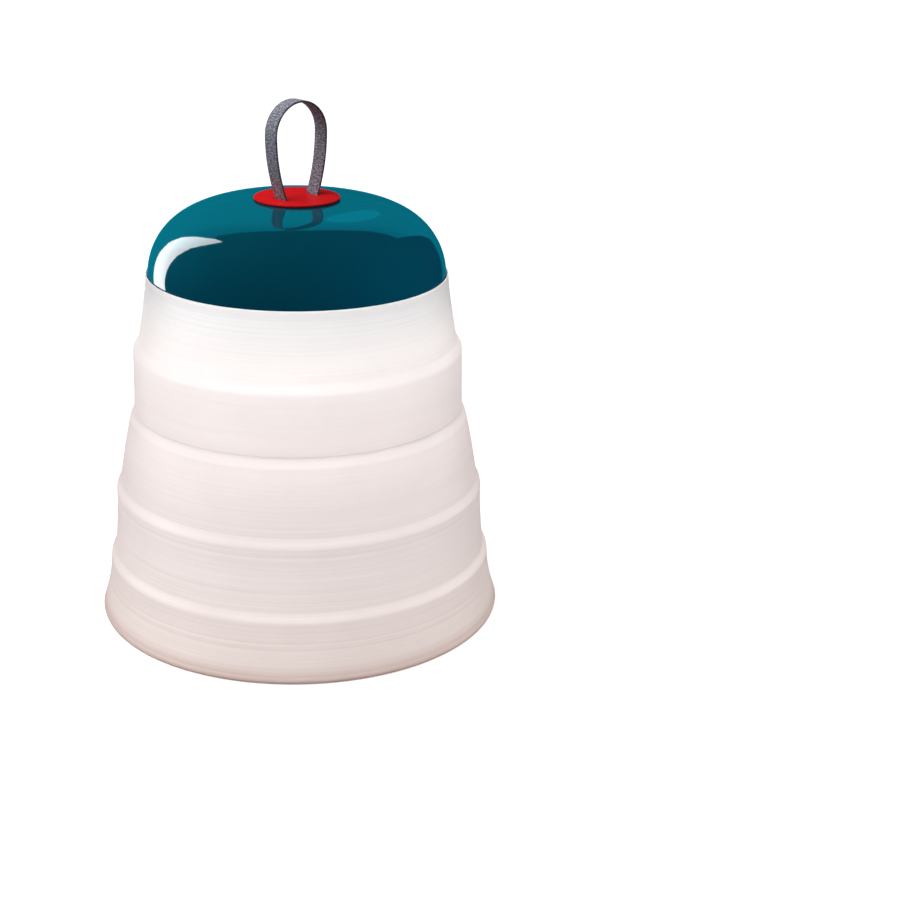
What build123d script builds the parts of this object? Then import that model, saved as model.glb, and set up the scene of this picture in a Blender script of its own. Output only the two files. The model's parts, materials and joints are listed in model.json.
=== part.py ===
"""Collapsible rechargeable camping lantern.

A one-piece translucent silicone diffuser carries a domed light head with a webbing strap loop.
The diffuser folds twice, so the head sinks inside its skirt. Millimetres, +Z up, origin at the
centre of the ring that the lantern stands on. The strap loop lies in the XZ plane.
"""

from build123d import *
from math import cos, pi, radians, sin
import os

# ---- driving dimensions -------------------------------------------------------------------

# silicone diffuser: five bands as (lower radius, upper radius, lower height, upper height)
BANDS = (
    (135.0, 128.1, 3.0, 38.5),
    (124.8, 122.4, 46.0, 86.5),
    (119.3, 111.8, 94.5, 134.5),
    (108.7, 107.9, 141.5, 181.5),
    (104.0, 98.3, 189.5, 226.0),
)
WALL = 1.7
HEM_RADIUS = 133.0
HEM_SHOULDER = (134.6, 0.9)
BODY_GAP = 0.3

# fold lines: the wall turns over at the two lips and at the valley between them
LOWER_LIP_Z = 60.0
VALLEY_Z = 117.0
UPPER_LIP_Z = 173.0
FOLD_END_Z = 228.0
COLLAR_TOP_Z = 232.4

# dome: a rounded crown over a nearly upright side
DOME_RADIUS = 96.8
DOME_BASE_Z = 229.4
DOME_HEIGHT = 50.0
DOME_WALL = 2.6
CROWN_POWER = 3.7
SIDE_POWER = 2.04
FLANGE_INNER = 88.0
FLANGE_THICK = 2.0
SEAT_RADIUS = 24.5
SEAT_Z = 278.9
POST_TOP_Z = 268.0

# ring that clamps the diffuser's flange
CLAMP_OUTER = 95.6
CLAMP_INNER = 88.6
CLAMP_THICK = 1.6
CLAMP_HOLE = 1.25

# light head, seen from below
CHASSIS_RADIUS = 87.6
CHASSIS_Z = 229.0
CHASSIS_THICK = 2.2
WELL_RADIUS = 62.2
WELL_WALL = 2.2
DECK_Z = 237.4
DECK_THICK = 2.0
SPREADER_RADIUS = 60.0
LED_BOARD_TOP_Z = 233.6
LED_BOARD_THICK = 1.4
LED_BOARD_RADIUS = 57.0
LED_RINGS = ((8, 22.0), (16, 42.0))
LED_SIZE = (3.2, 2.8, 0.7)
LENS_RADIUS = 61.4
LENS_LIP_RADIUS = 59.6
LENS_Z = (228.6, 230.0, 231.4)
BEZEL_RADIUS = 70.4
BEZEL_INNER = 58.4
BEZEL_Z = 227.4

# disc and strap
DISC_RADIUS = 27.7
DISC_THICK = 1.2
GASKET_THICK = 0.8
STRAP_WIDTH = 11.5
STRAP_THICK = 1.3
STRAP_FOOT_X = 13.0
STRAP_BULGE_X = 20.6
STRAP_BULGE_Z = 321.2
STRAP_PIVOT_Z = 287.0
SLOT_LENGTH = 13.0
SLOT_WIDTH = 2.9
BAR_RADIUS = 1.5
BAR_Z = 266.0
STUD_Y = 16.0
STUD_RADIUS = 1.5
STUD_HOLE = 1.6
ANCHOR_Z = (272.4, 274.0)
ANCHOR_SIZE = (40.0, 41.0)
NUT_RADIUS = 3.1
NUT_THICK = 2.4

# controls on the rear shoulder of the dome
SHOULDER_RADIUS = 82.6
SHOULDER_TILT = 45.0
PORT_AZIMUTH = 36.0
BUTTON_AZIMUTH = 64.0
PORT_FLANGE = (18.0, 11.6)
PORT_BODY = (14.8, 8.4)
PORT_OPENING = (11.6, 5.2)
PORT_BOARD_DEPTH = (10.9, 9.5)
PORT_SCREW_X = 11.0
HINGE_Y = -7.2
HINGE_Z = 2.0
BARREL_RADIUS = 1.3
PIN_RADIUS = 0.6
BUTTON_RADIUS = 4.65
KEEPER_RADIUS = 6.0
BUTTON_BOARD_DEPTH = (13.3, 11.9)
BUTTON_SCREW_X = 10.5
BOARD_SCREW_HOLE = 1.15

# battery and board
CELL_RADIUS = 9.15
CELL_LENGTH = 65.0
CELL_Y = (-12.6, -32.0)
CELL_Z = 249.2
CELL_END = 1.2
TRAY_X = 36.5
TRAY_Y = (-43.8, -0.8)
TRAY_TOP_Z = 257.0
TRAY_WALL = (2.0, 1.6)
SADDLE_X = 22.0
SADDLE_TOP_Z = 246.0
COVER_Z = (258.6, 260.2)
COVER_SCREWS = (38.5, 17.0)
BOARD_X = 36.0
BOARD_Y = (12.0, 48.0)
BOARD_Z = 242.6
BOARD_THICK = 1.6
SOCKET_HEIGHT = 5.0

# internal leads
LEAD_RADIUS = 0.9
LED_LEAD_Y = 2.0

# screw circles
CLAMP_CIRCLE = (8, 92.2, 22.5)
CHASSIS_CIRCLE = (6, 82.0, 20.0)
LENS_CIRCLE = (6, 67.6, 30.0)

PILOT_GAP = 0.05


# ---- helpers ------------------------------------------------------------------------------

def rod(radius, z0, z1, x=0.0, y=0.0):
    """Upright cylinder from z0 to z1."""
    return Pos(x, y, (z0 + z1) / 2) * Cylinder(radius, z1 - z0)


def ring(outer, inner, z0, z1, x=0.0, y=0.0):
    """Upright ring from z0 to z1."""
    return rod(outer, z0, z1, x, y) - rod(inner, z0 - 1, z1 + 1, x, y)


def block(x0, x1, y0, y1, z0, z1):
    """Box between two corners."""
    centre = Pos((x0 + x1) / 2, (y0 + y1) / 2, (z0 + z1) / 2)
    return centre * Box(x1 - x0, y1 - y0, z1 - z0)


def slot(length, width, z0, z1):
    """Upright rounded slot, long along X, from z0 to z1."""
    return Pos(0, 0, z0) * extrude(SlotOverall(length, width), z1 - z0)


def polar(count, radius, start=0.0):
    """Evenly spaced points on a circle."""
    turns = [radians(start + 360.0 * i / count) for i in range(count)]
    return [(radius * cos(t), radius * sin(t)) for t in turns]


def turned(points):
    """Solid of revolution about Z of a closed (radius, height) outline."""
    outline = Polyline(*points, close=True)
    return revolve(Plane.XZ * make_face(outline), Axis.Z)


def save(shapes, node):
    """Write one node, as a group when it holds several solids."""
    pieces = shapes if isinstance(shapes, list) else [shapes]
    solids = [solid for piece in pieces for solid in piece.solids()]
    whole = solids[0] if len(solids) == 1 else Compound(children=solids)
    export_step(whole, f"parts/{node}.step")


def screw(x, y, head_z, head, shank, length, head_height=1.2):
    """Pan-head screw driven upwards: the head hangs below head_z and has a cross recess."""
    body = rod(head, head_z - head_height, head_z, x, y) + rod(shank, head_z, head_z + length, x, y)
    low = head_z - head_height
    for size_x, size_y in ((head, 0.5), (0.5, head)):
        body -= Pos(x, y, low) * Box(size_x, size_y, 1.0)
    return body


def shoulder_plane(azimuth):
    """Workplane on the dome's shoulder: local X runs round the dome, local Z points outwards."""
    turn = radians(azimuth)
    tilt = radians(SHOULDER_TILT)
    place = (SHOULDER_RADIUS * cos(turn), SHOULDER_RADIUS * sin(turn), dome_height(SHOULDER_RADIUS))
    normal = (cos(turn) * cos(tilt), sin(turn) * cos(tilt), sin(tilt))
    return Plane(origin=place, x_dir=(sin(turn), -cos(turn), 0), z_dir=normal)


# ---- silicone diffuser --------------------------------------------------------------------

def wall_outline():
    """Outer outline of the diffuser, from the rounded hem up to the collar."""
    points = [(HEM_RADIUS, 0.0), HEM_SHOULDER]
    for low_r, high_r, low_z, high_z in BANDS:
        points += [(low_r, low_z), (high_r, high_z)]
    return points


def wall_radius(height):
    """Outer radius of the diffuser at one height."""
    points = wall_outline()
    for (r0, z0), (r1, z1) in zip(points, points[1:]):
        if z0 <= height <= z1:
            return r0 + (r1 - r0) * (height - z0) / (z1 - z0)
    return points[-1][0]


def wall_piece(z0, z1):
    """The stretch of the wall between two heights."""
    inside = [p for p in wall_outline() if z0 < p[1] < z1]
    outer = [(wall_radius(z0), z0), *inside, (wall_radius(z1), z1)]
    inner = [(r - WALL, z) for r, z in reversed(outer)]
    return turned(outer + inner)


def diffuser_rim():
    """Collar that stretches over the dome's edge, with a flange clamped beneath the dome."""
    outer = BANDS[-1][1]
    low = FOLD_END_Z + BODY_GAP / 2
    points = [
        (FLANGE_INNER + 2.0, low),
        (outer, low),
        (outer - 0.2, COLLAR_TOP_Z - 0.5),
        (outer - 0.6, COLLAR_TOP_Z),
        (DOME_RADIUS + 0.1, COLLAR_TOP_Z),
        (DOME_RADIUS + 0.1, DOME_BASE_Z),
        (FLANGE_INNER + 2.0, DOME_BASE_Z),
    ]
    rim = turned(points)
    for x, y in polar(*CLAMP_CIRCLE):
        rim -= rod(CLAMP_HOLE, low - 1, DOME_BASE_Z + 1, x, y)
    return rim


# ---- dome ---------------------------------------------------------------------------------

def dome_height(radius, inset=0.0):
    """Height of the dome's surface, or of a surface that lies inset beneath it."""
    share = min(1.0, radius / (DOME_RADIUS - inset))
    return DOME_BASE_Z + (DOME_HEIGHT - inset) * (1 - share ** CROWN_POWER) ** (1 / SIDE_POWER)


def dome_solid(inset):
    """Solid under the dome's surface, or under a surface inset beneath it."""
    radius = DOME_RADIUS - inset
    steps = 14
    curve = []
    for i in range(steps + 1):
        r = radius * sin(pi / 2 * i / steps)
        curve.append((r, dome_height(r, inset)))
    crown = Spline(*curve, tangents=((1, 0), (0, -1)))
    base = Polyline(curve[-1], (0, DOME_BASE_Z), curve[0])
    return revolve(Plane.XZ * make_face([*crown.edges(), *base.edges()]), Axis.Z)


def shoulder_posts(azimuth, reach, spacing):
    """Two screw posts under the dome's shoulder, bored for their screws."""
    plane = shoulder_plane(azimuth)
    posts = [plane * rod(2.4, -reach, -1.6, x) for x in (-spacing, spacing)]
    bores = [plane * rod(1.0 + PILOT_GAP, -reach - 1, -reach + 4.5, x) for x in (-spacing, spacing)]
    return posts, bores


def dome_cap():
    """Glossy shell with its rim flange, screw posts, strap slots and control openings."""
    cap = dome_solid(0.0) - dome_solid(DOME_WALL)
    cap += ring(DOME_RADIUS - 1.0, FLANGE_INNER, DOME_BASE_Z, DOME_BASE_Z + FLANGE_THICK)
    for x, y in polar(*CLAMP_CIRCLE):
        cap += rod(2.6, DOME_BASE_Z, DOME_BASE_Z + 7.0, x, y)
    for x, y in polar(*CHASSIS_CIRCLE):
        post = rod(3.2, CHASSIS_Z + CHASSIS_THICK, POST_TOP_Z, x, y) & dome_solid(1.0)
        cap += post
    for sign in (-1, 1):
        cap += rod(4.0, ANCHOR_Z[1], SEAT_Z - 0.5, 0.0, sign * STUD_Y)
    controls = (
        (PORT_AZIMUTH, PORT_BOARD_DEPTH[1], PORT_SCREW_X),
        (BUTTON_AZIMUTH, BUTTON_BOARD_DEPTH[1], BUTTON_SCREW_X),
    )
    for control in controls:
        posts, bores = shoulder_posts(*control)
        for post in posts:
            cap += post
        for bore in bores:
            cap -= bore
    for x, y in polar(*CLAMP_CIRCLE):
        cap -= rod(1.0 + PILOT_GAP, DOME_BASE_Z - 1, DOME_BASE_Z + 6.0, x, y)
    for x, y in polar(*CHASSIS_CIRCLE):
        cap -= rod(1.25 + PILOT_GAP, CHASSIS_Z, CHASSIS_Z + CHASSIS_THICK + 9.0, x, y)
    cap -= rod(SEAT_RADIUS, SEAT_Z, SEAT_Z + 5)
    for sign in (-1, 1):
        cap -= rod(STUD_HOLE, 270.0, SEAT_Z + 5, 0.0, sign * STUD_Y)
        cap -= Pos(sign * STRAP_FOOT_X, 0, 0) * Rot(0, 0, 90) * slot(SLOT_LENGTH, SLOT_WIDTH, 270, 285)
    length, width = PORT_BODY
    cap -= shoulder_plane(PORT_AZIMUTH) * slot(length + 0.2, width + 0.2, -5.0, 5.0)
    cap -= shoulder_plane(BUTTON_AZIMUTH) * rod(KEEPER_RADIUS + 0.6, -5.0, 5.0)
    return cap


def clamp_ring():
    """Flat ring that clamps the diffuser's flange up against the dome."""
    top = FOLD_END_Z + BODY_GAP / 2
    body = ring(CLAMP_OUTER, CLAMP_INNER, top - CLAMP_THICK, top)
    for x, y in polar(*CLAMP_CIRCLE):
        body -= rod(CLAMP_HOLE, top - 3, top + 1, x, y)
    return body


def clamp_screws():
    """Eight screws through the clamp ring and the flange into the dome."""
    head_z = FOLD_END_Z + BODY_GAP / 2 - CLAMP_THICK
    return [screw(x, y, head_z, 2.0, 1.0, 8.4, 1.0) for x, y in polar(*CLAMP_CIRCLE)]


# ---- light ----------------------------------------------------------------------------------

def chassis_plate():
    """White tray that closes the dome from below, with a raised well for the light."""
    top = CHASSIS_Z + CHASSIS_THICK
    body = ring(CHASSIS_RADIUS, WELL_RADIUS, CHASSIS_Z, top)
    body += ring(WELL_RADIUS + WELL_WALL, WELL_RADIUS, CHASSIS_Z, DECK_Z)
    body += rod(WELL_RADIUS + 0.5, DECK_Z - DECK_THICK, DECK_Z)
    for x, y in polar(*CHASSIS_CIRCLE):
        body -= rod(1.4, CHASSIS_Z - 1, top + 1, x, y)
    for x, y in polar(*LENS_CIRCLE):
        body += rod(2.6, top - 0.5, top + 4.5, x, y)
        body -= rod(0.8 + PILOT_GAP, CHASSIS_Z - 1, top + 3.6, x, y)
    for x, y in board_posts():
        body += rod(2.6, DECK_Z - 0.5, BOARD_Z, x, y)
        body -= rod(0.8 + PILOT_GAP, DECK_Z + 0.4, BOARD_Z + 1, x, y)
    body -= rod(1.6, DECK_Z - 5, DECK_Z + 1, 0.0, LED_LEAD_Y)
    return body


def chassis_screws():
    """Six screws that hold the tray to the dome's posts."""
    return [screw(x, y, CHASSIS_Z, 2.6, 1.25, 10.0, 1.3) for x, y in polar(*CHASSIS_CIRCLE)]


def heat_spreader():
    """Aluminium disc between the tray and the light board."""
    return ring(SPREADER_RADIUS, 4.0, LED_BOARD_TOP_Z, DECK_Z - DECK_THICK)


def led_board():
    """Round board that carries the light sources, facing down."""
    return rod(LED_BOARD_RADIUS, LED_BOARD_TOP_Z - LED_BOARD_THICK, LED_BOARD_TOP_Z)


def leds():
    """White light sources in two rings, each a pale body with a sunken phosphor window."""
    length, width, height = LED_SIZE
    high = LED_BOARD_TOP_Z - LED_BOARD_THICK
    low = high - height
    found = []
    for count, radius in LED_RINGS:
        for i in range(count):
            chip = block(radius - length / 2, radius + length / 2, -width / 2, width / 2, low, high)
            chip -= rod(1.1, low - 0.5, low + 0.2, radius)
            found.append(Rot(0, 0, 360.0 * i / count) * chip)
    return found


def led_lens():
    """Opal cover: a shallow dish with a locating lip."""
    low, floor, lip = LENS_Z
    return rod(LENS_RADIUS, low, floor) + ring(LENS_RADIUS, LENS_LIP_RADIUS, floor, lip)


def lens_ring():
    """Bezel that holds the opal cover in the well."""
    seat = LENS_Z[0]
    body = ring(BEZEL_RADIUS, BEZEL_INNER, BEZEL_Z, seat)
    body += ring(WELL_RADIUS - 0.2, LENS_RADIUS + 0.1, seat, seat + 1.8)
    body += ring(BEZEL_RADIUS, WELL_RADIUS + 0.3, seat, CHASSIS_Z)
    for x, y in polar(*LENS_CIRCLE):
        body -= rod(1.0, BEZEL_Z - 1, CHASSIS_Z + 1, x, y)
    return body


def lens_screws():
    """Six small screws for the bezel."""
    return [screw(x, y, BEZEL_Z, 1.6, 0.8, 6.6, 0.9) for x, y in polar(*LENS_CIRCLE)]


# ---- battery --------------------------------------------------------------------------------

def cover_posts():
    """Places of the battery cover's screws."""
    reach_x, reach_y = COVER_SCREWS
    middle = sum(TRAY_Y) / 2
    return [(sx * reach_x, middle + sy * reach_y) for sx in (-1, 1) for sy in (-1, 1)]


def battery_holder():
    """Open tray with a cradle for each cell and a screw post at each corner."""
    front, back = TRAY_Y
    end_wall, side_wall = TRAY_WALL
    inside_x, inside_front, inside_back = TRAY_X - end_wall, front + side_wall, back - side_wall
    body = block(-TRAY_X, TRAY_X, front, back, DECK_Z, TRAY_TOP_Z)
    body -= block(-inside_x, inside_x, inside_front, inside_back, DECK_Z + side_wall, TRAY_TOP_Z + 1)
    for x in (-SADDLE_X, SADDLE_X):
        body += block(x - 2.0, x + 2.0, inside_front - 0.2, inside_back + 0.2, DECK_Z + 1.4, SADDLE_TOP_Z)
    for y in CELL_Y:
        body -= Pos(0, y, CELL_Z) * Rot(0, 90, 0) * Cylinder(CELL_RADIUS + 0.1, CELL_LENGTH + 3)
    for x, y in cover_posts():
        post = rod(3.0, DECK_Z, TRAY_TOP_Z, x, y)
        body += post - block(-inside_x - 0.1, inside_x + 0.1, -60, 20, DECK_Z - 1, TRAY_TOP_Z + 1)
    for x, y in cover_posts():
        body -= rod(0.8 + PILOT_GAP, TRAY_TOP_Z - 10, TRAY_TOP_Z + 1, x, y)
    lead_notch = block(-34.3, -31.5, inside_back - 0.2, back + 0.2, 249.9, TRAY_TOP_Z + 1)
    return body - lead_notch


def battery_cells():
    """Two rechargeable round cells, each with its raised positive end."""
    can = CELL_LENGTH - CELL_END
    cells = []
    for number, y in enumerate(CELL_Y):
        turn = 90 if number == 0 else -90
        cell = Cylinder(CELL_RADIUS, can) + Pos(0, 0, can / 2 + 0.4) * Cylinder(3.0, CELL_END)
        cells.append(Pos(0, y, CELL_Z) * Rot(0, turn, 0) * cell)
    return cells


def cell_tabs():
    """Nickel tabs that join the cells at both ends of the tray."""
    tabs = []
    for sign in (-1, 1):
        x = sign * 34.0
        tabs.append(block(x - 0.2, x + 0.2, CELL_Y[1] - 4, CELL_Y[0] + 9.6, CELL_Z - 4, CELL_Z + 4))
    return tabs


def battery_cover():
    """Plate that keeps the cells down."""
    front, back = TRAY_Y
    side_wall = TRAY_WALL[1]
    low, high = COVER_Z
    body = block(-42.0, 42.0, front, back, low, high)
    body += block(-TRAY_X, TRAY_X, front, front + side_wall, TRAY_TOP_Z, low + 0.2)
    body += block(-TRAY_X, TRAY_X, back - side_wall, back, TRAY_TOP_Z, low + 0.2)
    for x, y in cover_posts():
        body += ring(2.8, 1.0, TRAY_TOP_Z, low + 0.2, x, y)
        body -= rod(1.0, TRAY_TOP_Z - 2, high + 2, x, y)
    for x in (-24.0, 0.0, 24.0):
        vent = Rot(0, 0, 90) * slot(26.0, 5.0, low - 2, high + 2)
        body -= Pos(x, (front + back) / 2, 0) * vent
    return body


def battery_screws():
    """Four screws driven down into the tray's corner posts."""
    made = []
    for x, y in cover_posts():
        made.append(Pos(x, y, COVER_Z[1]) * Rot(180, 0, 0) * screw(0, 0, 0, 1.7, 0.8, 9.0))
    return made


# ---- control board --------------------------------------------------------------------------

def board_posts():
    """Places of the control board's screws."""
    front, back = BOARD_Y
    return [(sx * (BOARD_X - 4.0), y) for sx in (-1, 1) for y in (front + 4.0, back - 4.0)]


def control_board():
    """Charger and dimmer board on four posts."""
    body = block(-BOARD_X, BOARD_X, *BOARD_Y, BOARD_Z, BOARD_Z + BOARD_THICK)
    for x, y in board_posts():
        body -= rod(1.1, BOARD_Z - 1, BOARD_Z + 3, x, y)
    return body


def board_screws():
    """Four screws driven down through the board."""
    top = BOARD_Z + BOARD_THICK
    return [Pos(x, y, top) * Rot(180, 0, 0) * screw(0, 0, 0, 1.7, 0.8, 5.5) for x, y in board_posts()]


def board_inductor():
    """Shielded coil of the boost converter."""
    top = BOARD_Z + BOARD_THICK
    body = block(-18.0, -8.0, 30.0, 40.0, top, top + 5.0)
    body -= ring(4.6, 3.4, top + 4.4, top + 6, -13.0, 35.0)
    return body


def board_capacitors():
    """Three can capacitors."""
    top = BOARD_Z + BOARD_THICK
    cans = []
    for x in (2.0, 11.0, 20.0):
        cans.append(rod(3.2, top, top + 7.5, x, 38.0) - rod(2.4, top + 7.2, top + 8, x, 38.0))
    return cans


def board_chips():
    """Charger, driver and memory packages."""
    top = BOARD_Z + BOARD_THICK
    chips = [
        block(-22.0, -16.0, 17.0, 23.0, top, top + 1.1),
        block(-8.0, -1.0, 18.0, 25.0, top, top + 1.1),
        block(8.0, 13.0, 18.0, 22.0, top, top + 1.4),
        block(18.0, 25.0, 18.0, 24.0, top, top + 1.4),
    ]
    return chips


def board_sockets():
    """Lead sockets on the board, open at the top."""
    top = BOARD_Z + BOARD_THICK
    made = []
    for x, y in ((-31.0, 30.0), (31.0, 30.0), (0.0, 43.6), (0.0, 14.4)):
        made.append(block(x - 3.5, x + 3.5, y - 2.0, y + 2.0, top, top + SOCKET_HEIGHT))
    return made


# ---- charging port --------------------------------------------------------------------------

def hinge_rod(radius, length, x=0.0):
    """Cylinder along the line of the cover's hinge, in the shoulder's workplane."""
    return Pos(x, HINGE_Y, HINGE_Z) * Rot(0, 90, 0) * Cylinder(radius, length)


def port_bezel():
    """Slotted insert with the lugs of its cover."""
    flange = slot(*PORT_FLANGE, 0.55, 1.2)
    body = fillet(flange.edges().group_by(Axis.Z)[-1], 0.4)
    body += slot(*PORT_BODY, -4.5, 0.6)
    body -= slot(*PORT_OPENING, -6.0, 3.0)
    for x in (-5.5, 5.5):
        body += block(x - 1.2, x + 1.2, -8.6, -5.0, 0.55, 1.9) + hinge_rod(BARREL_RADIUS, 2.4, x)
    body -= hinge_rod(PIN_RADIUS, 20)
    return shoulder_plane(PORT_AZIMUTH) * body


def port_cover():
    """Rubber cover with a plug that fills the opening and a barrel round its pin."""
    plate = Pos(0, 0.8, 0) * slot(16.4, 10.4, 1.3, 2.5)
    body = fillet(plate.edges().group_by(Axis.Z)[-1], 0.6)
    body += slot(PORT_OPENING[0] - 1.0, PORT_OPENING[1] - 1.0, 0.1, 1.4)
    body += block(-3.6, 3.6, HINGE_Y, -3.5, 1.5, 2.6)
    body += hinge_rod(BARREL_RADIUS, 7.2)
    tab = Pos(0, 5.6, 0) * slot(7.0, 2.2, 1.3, 3.2)
    body += fillet(tab.edges().group_by(Axis.Z)[-1], 0.5)
    body -= hinge_rod(PIN_RADIUS + PILOT_GAP, 20)
    return shoulder_plane(PORT_AZIMUTH) * body


def cover_pin():
    """Steel pin through both lugs and the cover's barrel."""
    return shoulder_plane(PORT_AZIMUTH) * hinge_rod(PIN_RADIUS, 13.2)


def usb_socket():
    """Metal shell of the charging socket, standing on its own board."""
    low = -PORT_BOARD_DEPTH[1]
    body = slot(8.9, 3.2, low, -2.0) - slot(8.3, 2.6, low + 0.5, 0.0)
    return shoulder_plane(PORT_AZIMUTH) * body


def usb_tongue():
    """Contact tongue inside the socket."""
    low = 0.5 - PORT_BOARD_DEPTH[1]
    return shoulder_plane(PORT_AZIMUTH) * block(-3.3, 3.3, -0.35, 0.35, low, -3.0)


def shoulder_board(azimuth, depths, length, width, screw_x):
    """Small board under the dome's shoulder, with its two screw holes."""
    deep, shallow = depths
    body = block(-length / 2, length / 2, -width / 2, width / 2, -deep, -shallow)
    for x in (-screw_x, screw_x):
        body -= rod(BOARD_SCREW_HOLE, -deep - 1, -shallow + 1, x)
    return shoulder_plane(azimuth) * body


def port_board():
    """Small board behind the socket."""
    return shoulder_board(PORT_AZIMUTH, PORT_BOARD_DEPTH, 28.0, 13.0, PORT_SCREW_X)


def shoulder_screws(azimuth, depth, screw_x):
    """Two screws that hold a shoulder board to its posts."""
    plane = shoulder_plane(azimuth)
    return [plane * screw(x, 0, -depth, 1.9, 1.0, 5.6, 1.1) for x in (-screw_x, screw_x)]


# ---- power button ---------------------------------------------------------------------------

def button_bezel():
    """Round insert that guides the button."""
    flange = rod(8.2, 0.5, 1.2)
    body = fillet(flange.edges().group_by(Axis.Z)[-1], 0.4)
    body += rod(KEEPER_RADIUS + 0.45, -4.2, 0.6)
    body -= rod(BUTTON_RADIUS + 0.05, -6, 3)
    return shoulder_plane(BUTTON_AZIMUTH) * body


def power_button():
    """Button with a dished top, a keeper flange and a plunger."""
    head = rod(BUTTON_RADIUS, -4.6, 2.3)
    body = fillet(head.edges().group_by(Axis.Z)[-1], 0.6)
    body += rod(KEEPER_RADIUS, -5.3, -4.3) + rod(1.8, -7.2, -5.2)
    body -= Pos(0, 0, 12.0) * Sphere(10.3)
    return shoulder_plane(BUTTON_AZIMUTH) * body


def button_spring():
    """Return spring between the keeper flange and the button's board."""
    turns = Helix(pitch=1.35, height=5.9, radius=5.1)
    start = turns @ 0
    profile = Plane(origin=start, z_dir=turns % 0) * Circle(0.25)
    coil = sweep(profile, path=turns, is_frenet=True)
    return shoulder_plane(BUTTON_AZIMUTH) * Pos(0, 0, 0.35 - BUTTON_BOARD_DEPTH[1]) * coil


def tact_switch():
    """Switch that the plunger presses."""
    low = -BUTTON_BOARD_DEPTH[1]
    body = block(-3.0, 3.0, -3.0, 3.0, low, low + 3.2) + rod(1.7, low + 3.1, low + 3.55)
    return shoulder_plane(BUTTON_AZIMUTH) * body


def button_board():
    """Small board behind the button."""
    return shoulder_board(BUTTON_AZIMUTH, BUTTON_BOARD_DEPTH, 27.0, 14.0, BUTTON_SCREW_X)


# ---- disc and strap -------------------------------------------------------------------------

def strap_slots(z0, z1):
    """The two openings that the strap passes through."""
    tool = Rot(0, 0, 90) * slot(SLOT_LENGTH, SLOT_WIDTH, z0, z1)
    return [Pos(sign * STRAP_FOOT_X, 0, 0) * tool for sign in (-1, 1)]


def disc_gasket():
    """Foam seal between the disc and its seat on the dome."""
    body = rod(SEAT_RADIUS - 1.0, SEAT_Z, SEAT_Z + GASKET_THICK)
    for opening in strap_slots(SEAT_Z - 1, SEAT_Z + 2):
        body -= opening
    for sign in (-1, 1):
        body -= rod(STUD_HOLE, SEAT_Z - 1, SEAT_Z + 2, 0.0, sign * STUD_Y)
    return body


def handle_disc():
    """Thin disc with softened edges, two strap slots and two studs beneath."""
    low = SEAT_Z + GASKET_THICK
    body = rod(DISC_RADIUS, low, low + DISC_THICK)
    body = fillet(body.edges().filter_by(GeomType.CIRCLE), 0.3)
    for opening in strap_slots(low - 1, low + 3):
        body -= opening
    for sign in (-1, 1):
        body += rod(STUD_RADIUS, 268.6, low + 0.5, 0.0, sign * STUD_Y)
    return body


def anchor_plate():
    """Steel plate under the dome that the strap's bars pull against."""
    (half_x, half_y), (low, high) = (side / 2 for side in ANCHOR_SIZE), ANCHOR_Z
    body = block(-half_x, half_x, -half_y, half_y, low, high)
    for opening in strap_slots(low - 1, high + 1):
        body -= opening
    for sign in (-1, 1):
        body -= rod(STUD_HOLE, low - 1, high + 1, 0.0, sign * STUD_Y)
    return body


def disc_nuts():
    """Hexagon nuts on the disc's studs."""
    nuts = []
    for sign in (-1, 1):
        nut = extrude(RegularPolygon(NUT_RADIUS, 6), NUT_THICK) - rod(STUD_RADIUS + PILOT_GAP, -1, 4)
        nuts.append(Pos(0, sign * STUD_Y, ANCHOR_Z[0] - NUT_THICK) * nut)
    return nuts


def strap_path():
    """Centre line of the strap above its feet: two leaning legs joined by a round top."""
    foot_z = SEAT_Z + GASKET_THICK + DISC_THICK
    lean = STRAP_BULGE_X - STRAP_FOOT_X
    rise = STRAP_BULGE_Z - foot_z
    leg_radius = (rise ** 2 + lean ** 2) / (2 * lean)
    left_foot = (-STRAP_FOOT_X, foot_z)
    left_bulge = (-STRAP_BULGE_X, STRAP_BULGE_Z)
    right_bulge = (STRAP_BULGE_X, STRAP_BULGE_Z)
    top = (0, STRAP_BULGE_Z + STRAP_BULGE_X)
    left = RadiusArc(left_foot, left_bulge, leg_radius)
    right = RadiusArc(right_bulge, (STRAP_FOOT_X, foot_z), leg_radius)
    return left, ThreePointArc(left_bulge, top, right_bulge), right


def strap_band():
    """The whole band above the disc, as wide as the webbing."""
    faces = [trace(part, STRAP_THICK) for part in strap_path()]
    outline = faces[0] + faces[1] + faces[2]
    return extrude(Plane.XZ * outline, STRAP_WIDTH / 2, both=True)


def strap_loop():
    """Webbing loop; its lower ends are rounded about the line that it leans on."""
    band = strap_band()
    reach = STRAP_WIDTH / 2
    above = block(-40, 40, -20, 20, STRAP_PIVOT_Z, 380)
    ends = Pos(0, 0, STRAP_PIVOT_Z) * Rot(0, 90, 0) * Cylinder(reach, 80)
    return band & (above + ends)


def strap_tails():
    """Ends of the webbing below the disc, each sewn round a bar."""
    top = SEAT_Z + GASKET_THICK + DISC_THICK - 0.2
    tails = []
    for sign in (-1, 1):
        x = sign * STRAP_FOOT_X
        half = STRAP_THICK / 2
        tail = block(x - half, x + half, -STRAP_WIDTH / 2, STRAP_WIDTH / 2, BAR_Z + 1.0, top)
        eye = Pos(x, 0, BAR_Z) * Rot(90, 0, 0) * Cylinder(BAR_RADIUS + STRAP_THICK, STRAP_WIDTH)
        tail += eye
        tail -= Pos(x, 0, BAR_Z) * Rot(90, 0, 0) * Cylinder(BAR_RADIUS + PILOT_GAP, 30)
        tails.append(tail)
    return tails


def strap_bars():
    """Steel bars in the strap's sewn ends."""
    length = STRAP_WIDTH + 5.0
    return [Pos(s * STRAP_FOOT_X, 0, BAR_Z) * Rot(90, 0, 0) * Cylinder(BAR_RADIUS, length) for s in (-1, 1)]


# ---- internal leads -------------------------------------------------------------------------

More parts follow.
